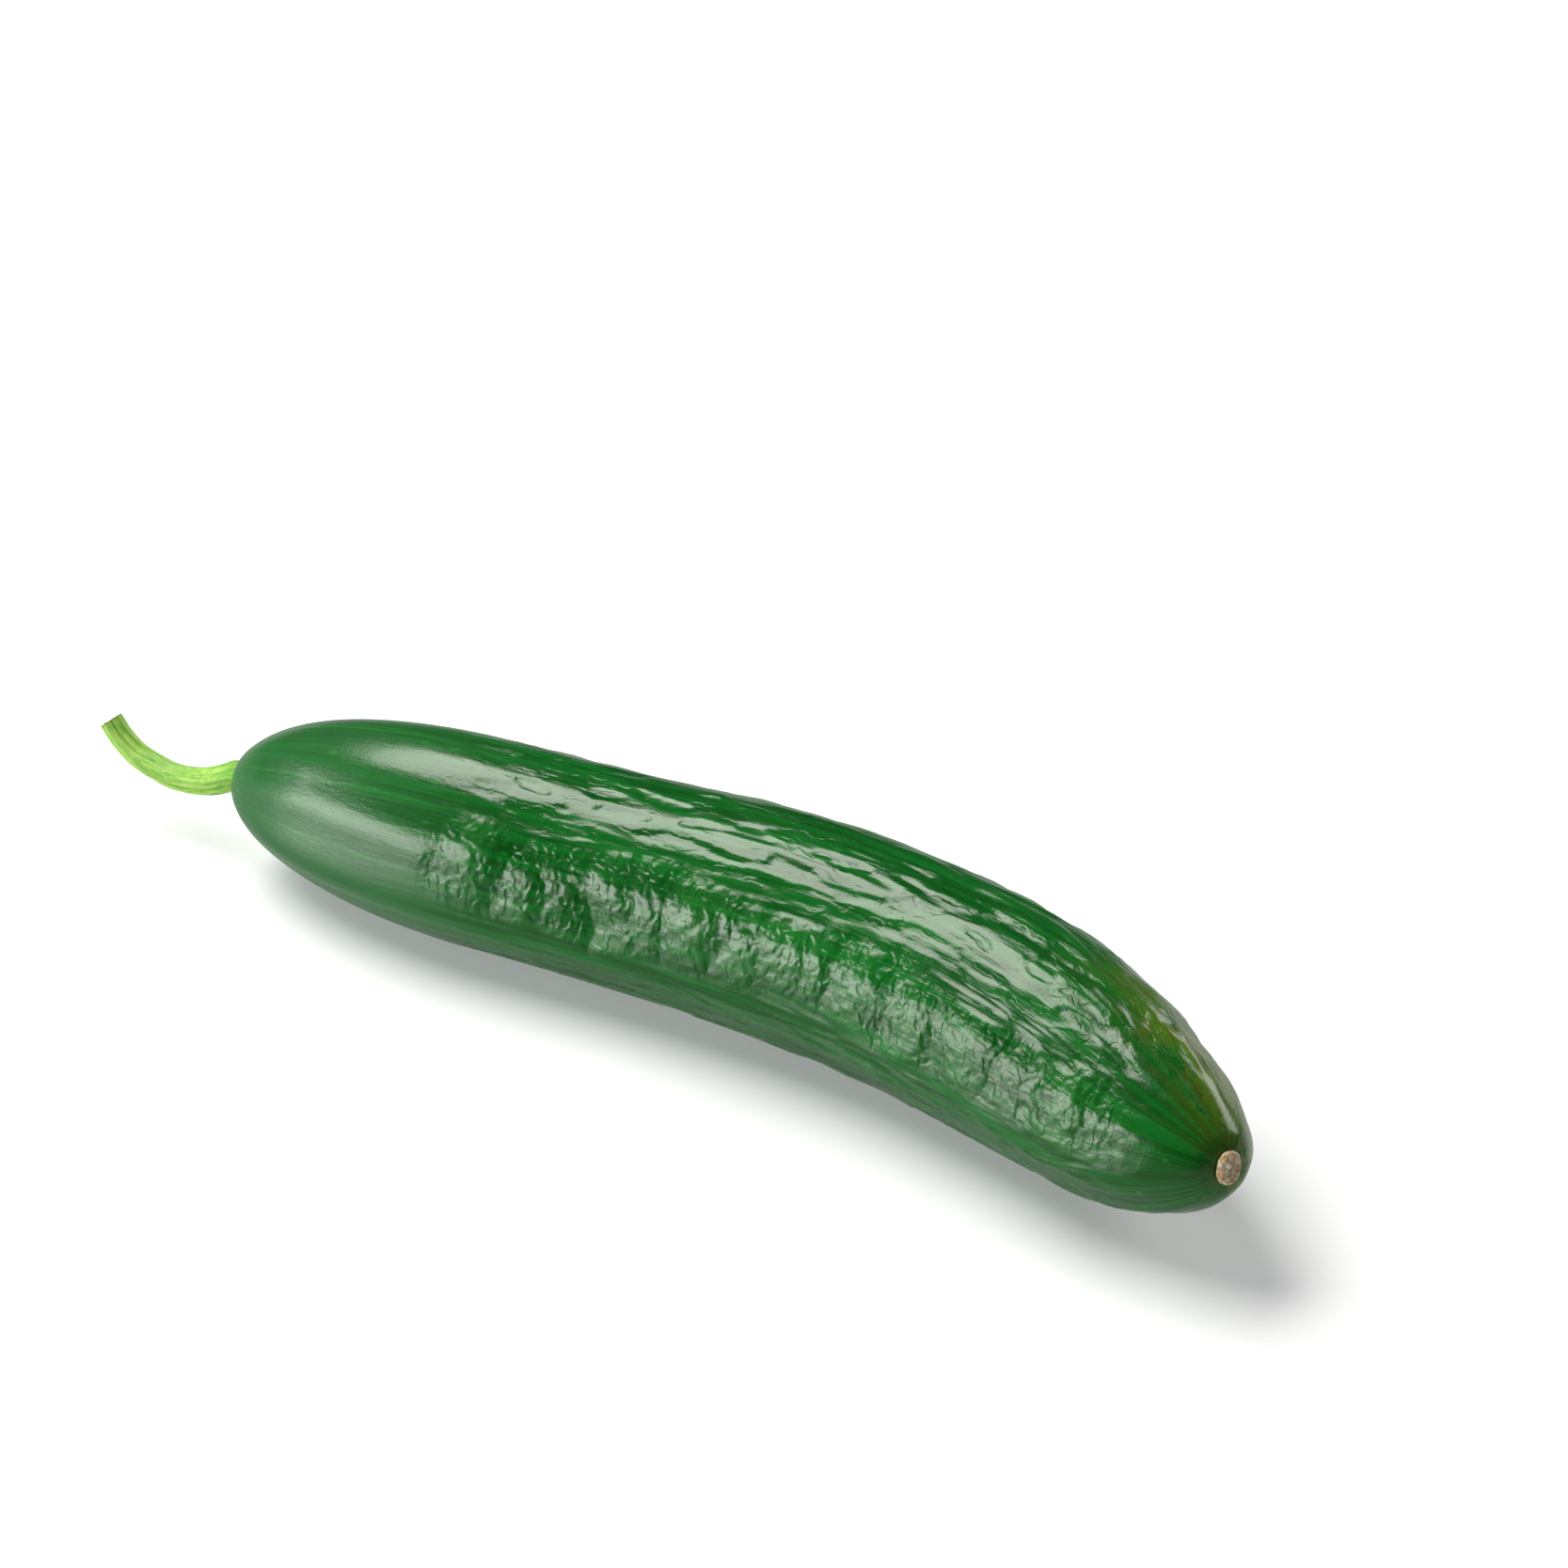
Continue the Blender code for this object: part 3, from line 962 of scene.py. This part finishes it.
        slope = np.arctan2(np.gradient(radius), np.gradient(distance))[ring]
        around = places[:, 1:] / np.hypot(places[:, 1], places[:, 2])[:, None]
        places[:, 0] -= height * np.sin(slope)
        places[:, 1:] += around * (height * np.cos(slope))[:, None]
        solid.place(places)
        solid.bend_along(self.shape.in_frame())
        pressed = solid.places()
        pressed[:, 2] = np.maximum(pressed[:, 2], 0.0)
        solid.place(pressed)
        solid.dress(finish.material())
        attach(solid.piece, BODY)
        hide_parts("fruit")
        return solid.piece


@dataclass
class Stalk:
    """The piece of stalk that was cut with the fruit."""

    radius: float = 0.00272
    foot_radius: float = 0.00335
    foot_length: float = 0.006
    narrowing: float = 0.16
    lobes: int = 5
    lobe_depth: float = 0.07
    ridges: int = 15
    ridge_depth: float = 0.00009
    lumps: Grain = Grain((5.0, 2.2, 2.2), 5.0)
    lump_depth: float = 0.035
    pits: Grain = Grain((1.4, 1.0, 1.0), 9.0)
    pit_depth: float = 0.020
    cut: Grain = Grain((1.5, 1.1, 1.1), 2.0)
    cut_depth: float = 0.00022
    cut_reach: float = 0.001
    cut_insets: tuple[Pair, ...] = (
        (0.00018, 0.00012), (0.0004, -0.00004), (0.0007, -0.00022), (0.0007, -0.0001),
    )
    sunk: float = 0.0020
    route_start: float = 0.3
    rings: int = 150
    sides: int = 90
    steps: int = 12
    route: tuple[Triple, ...] = (
        (0.0, 0.0, 0.0),
        (-0.0066, -0.0014, -0.0032),
        (-0.0143, -0.0025, -0.0047),
        (-0.0198, -0.0030, -0.0040),
        (-0.0242, -0.0033, -0.0027),
        (-0.0278, -0.0035, -0.0002),
        (-0.0305, -0.0035, 0.0027),
    )

    def middle_line(self, shape: FruitShape) -> Array:
        """The smooth line through the route's points, from the foot inside the fruit."""
        line = shape.in_frame()
        along = unit(line[1] - line[0])
        start = line[0] - along * self.route_start * MM
        points = [Vector(start + np.array(place)) for place in self.route]
        ends = [2 * points[0] - points[1], *points, 2 * points[-1] - points[-2]]
        smooth = [Vector(line[0] + along * self.sunk)]
        for a, b, c, d in zip(ends, ends[1:], ends[2:], ends[3:]):
            for step in range(self.steps):
                t = step / self.steps
                curve = 2 * b + (c - a) * t + (2 * a - 5 * b + 4 * c - d) * t**2
                smooth.append(0.5 * (curve + (3 * b - a - 3 * c + d) * t**3))
        smooth.append(points[-1])
        return np.array(smooth)

    def length(self, shape: FruitShape) -> float:
        """The length of the middle line."""
        return line_length(self.middle_line(shape))

    def build(self, shape: FruitShape, finish: StalkSkin) -> bpy.types.Object:
        """Models the stalk and dresses it.

        Args:
            shape: The fruit's shape, which says where the stalk starts.
            finish: The rind's finish.

        Returns:
            The finished piece.
        """
        length = self.length(shape)
        distance = np.linspace(0, length, self.rings + 1)
        widening = self.foot_radius / self.radius - 1
        radius = self.radius * (1 + widening * share_left(distance, self.foot_length))
        radius *= 1 - self.narrowing * smooth_step(distance / length)
        solid = Solid("stalk_rind", self.rings, self.sides)
        solid.turn_on(distance, radius)
        solid.inset_far_end(self.cut_insets)
        places = solid.places()
        solid.keep(STRAIGHT, places)
        turn = np.arctan2(places[:, 1], places[:, 2])
        grown = 1 + self.lobe_depth * np.cos(self.lobes * turn)
        grown += self.ridge_depth * np.cos(self.ridges * turn) / self.radius
        grown += self.lump_depth * self.lumps.smooth(places / MM)
        grown += self.pit_depth * self.pits.smooth(places / MM)
        places[:, 1:] *= grown[:, None]
        near_cut = smooth_step((places[:, 0] - length + self.cut_reach) / self.cut_reach)
        rough_cut = self.cut.smooth(places / MM) * near_cut
        places[:, 0] += self.cut_depth * rough_cut
        solid.place(places)
        solid.bend_along(self.middle_line(shape))
        solid.dress(finish.material())
        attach(solid.piece, BODY)
        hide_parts("stalk")
        return solid.piece


@dataclass
class Scar:
    """The corky scar where the flower dropped off."""

    radius: float = 0.0027
    height: float = 0.0012
    waist: float = 0.90
    bulge: float = 0.10
    oval: float = 0.14
    oval_turn: float = 0.7
    outline: Grain = Grain((1.5, 1.2, 1.2), 4.0)
    outline_depth: float = 0.06
    nicks: Grain = Grain((0.8, 0.5, 0.5), 6.0)
    nick_depth: float = 0.04
    top: Rise = Rise(0.0008, 0.0004)
    lumps: Grain = Grain((9.0, 0.9, 0.9), 14.0)
    lump_depth: float = 0.00022
    pits: Grain = Grain((9.0, 0.4, 0.4), 15.0)
    pit_depth: float = 0.00012
    insets: tuple[Pair, ...] = (
        (0.00016, 0.00016), (0.00022, 0.00010), (0.0003, 0.0), (0.0004, -0.00012),
        (0.0005, -0.00012), (0.0005, -0.00006), (0.0004, 0.0), (0.0003, 0.0),
    )
    sunk: float = 0.0009
    guide_step: float = 0.001
    guide_points: int = 8
    rings: int = 8
    sides: int = 96

    def build(self, shape: FruitShape, finish: Cork) -> bpy.types.Object:
        """Models the scar and dresses it.

        Args:
            shape: The fruit's shape, which says where the scar lies.
            finish: The cork's finish.

        Returns:
            The finished piece.
        """
        line = shape.in_frame()
        along = unit(line[-1] - line[-2])
        solid = Solid("blossom_scar_cork", self.rings, self.sides)
        share = np.linspace(0, 1, self.rings + 1)
        radius = self.radius * (self.waist + self.bulge * np.sin(math.pi * share))
        solid.turn_on(share * self.height, radius)
        solid.inset_far_end(self.insets)
        places = solid.places()
        solid.keep(STRAIGHT, places)
        mm = places / MM
        turn = np.arctan2(places[:, 1], places[:, 2])
        outline = 1 + self.oval * np.cos(2 * turn - self.oval_turn)
        outline += self.outline_depth * self.outline.smooth(mm)
        outline += self.nick_depth * self.nicks.smooth(mm)
        rough = self.lump_depth * self.lumps.smooth(mm) + self.pit_depth * self.pits.smooth(mm)
        top = self.top.at(places[:, 0])
        places[:, 1:] *= outline[:, None]
        places[:, 0] += top * rough
        solid.place(places)
        foot = line[-1] - along * self.sunk
        steps = range(self.guide_points)
        solid.bend_along(np.stack([foot + along * self.guide_step * step for step in steps]))
        solid.dress(finish.material())
        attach(solid.piece, BODY)
        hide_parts("blossom_scar")
        return solid.piece


@dataclass(frozen=True)
class SoftLight:
    """One rectangular studio light that faces the cucumber."""

    name: str
    towards: Triple
    away: float
    width: float
    depth: float
    power: float
    colour: Triple = (1.0, 1.0, 1.0)
    lengthwise: Triple = (1.0, 0.0, 0.0)

    def build(self, target: Vector) -> bpy.types.Object:
        """Adds the light, facing the target, with its width along the lengthwise direction."""
        data = bpy.data.lights.new(self.name, "AREA")
        data.shape = "RECTANGLE"
        data.size = self.width
        data.size_y = self.depth
        data.energy = self.power
        data.color = self.colour
        light = bpy.data.objects.new(self.name, data)
        bpy.context.scene.collection.objects.link(light)
        back = Vector(self.towards).normalized()
        light.location = target + back * self.away
        lengthwise = Vector(self.lengthwise)
        side = (lengthwise - back * back.dot(lengthwise)).normalized()
        up = back.cross(side)
        light.rotation_mode = "QUATERNION"
        turned = np.array([side, up, back]).T
        light.rotation_quaternion = Matrix(turned.tolist()).to_quaternion()
        return light


@dataclass
class Studio:
    """The white surface, the soft lights and the camera."""

    floor_half: float = 3.0
    floor_white: Colour = (0.885, 0.895, 0.930, 1.0)
    floor_mirrored: Colour = (0.26, 0.27, 0.27, 1.0)
    floor_rough: float = 0.3
    glow_white: Colour = (1.0, 1.0, 1.0, 1.0)
    floor_glow: float = 0.20
    room: Colour = (0.97, 0.99, 1.0, 1.0)
    room_light: float = 0.06
    azimuth: float = math.radians(37.0)
    elevation: float = math.radians(33.3)
    away: float = 0.9
    lens: float = 112.73
    sensor: float = 36.0
    sight: float = 20.0
    aim: Triple = (0.01458, 0.01335, 0.04491)
    lights: tuple[SoftLight, ...] = (
        SoftLight("overhead_softbox", (-0.505, -0.02, 0.86), 1.5, 0.76, 1.30, 28.5, (1.0, 0.99, 0.92)),
        SoftLight("front_softbox", (-0.60, -0.80, 0.175), 1.6, 1.10, 0.54, 16.5, (1.0, 1.0, 0.95)),
        SoftLight("back_fill", (0.30, 0.90, 0.40), 1.8, 1.4, 0.7, 12.0),
    )

    def floor(self) -> bpy.types.Object:
        """The plain white surface, darker where the skin mirrors it."""
        bpy.ops.object.select_all(action="DESELECT")
        bpy.ops.mesh.primitive_plane_add(size=2 * self.floor_half, location=(0, 0, 0))
        floor = bpy.context.object
        floor.name = "floor"
        made = bpy.data.materials.new("floor_white")
        made.use_nodes = True
        white = made.node_tree.nodes[PRINCIPLED]
        shader = Shader(made.node_tree)
        mirrored = shader.node("ShaderNodeLightPath").outputs["Is Glossy Ray"]
        values = {
            "Base Color": shader.lay(self.floor_white, self.floor_mirrored, mirrored),
            "Roughness": self.floor_rough,
            "Emission Color": self.glow_white,
            "Emission Strength": self.floor_glow,
        }
        shader.feed_all(white, values)
        floor.data.materials.append(made)
        return floor

    def camera(self) -> None:
        """The camera, which looks at the aim from its azimuth and elevation."""
        data = bpy.data.cameras.new("camera")
        data.sensor_width = self.sensor
        data.lens = self.lens
        data.clip_end = self.sight
        camera = bpy.data.objects.new("camera", data)
        bpy.context.scene.collection.objects.link(camera)
        flat = math.cos(self.elevation)
        x, y = math.sin(self.azimuth) * flat, -math.cos(self.azimuth) * flat
        back = Vector((x, y, math.sin(self.elevation)))
        camera.location = Vector(self.aim) + back * self.away
        camera.rotation_euler = back.to_track_quat("Z", "Y").to_euler()
        bpy.context.scene.camera = camera

    def build(self) -> None:
        """Sets the whole studio up."""
        self.floor()
        low, high = (Vector(corner) for corner in CAD_BOX)
        for light in self.lights:
            light.build((low + high) / 2)
        world = bpy.data.worlds.new("dim_room")
        world.use_nodes = True
        background = world.node_tree.nodes["Background"]
        background.inputs["Color"].default_value = self.room
        background.inputs["Strength"].default_value = self.room_light
        bpy.context.scene.world = world
        bpy.context.scene.view_settings.view_transform = "Standard"
        self.camera()


def main() -> None:
    """Builds each piece and the studio around it."""
    effects = Effects()
    shape = FruitShape()
    stalk = Stalk()
    pieces = [
        Fruit(shape).build(Skin(effects)),
        stalk.build(shape, StalkSkin(effects, length=stalk.length(shape) / MM)),
        Scar().build(shape, Cork(effects)),
    ]
    for piece in pieces:
        LOG.info("%s: %d faces", piece.name, len(piece.data.polygons))
    Studio().build()


if __name__ == "__main__":
    logging.basicConfig(level=logging.INFO)
    main()
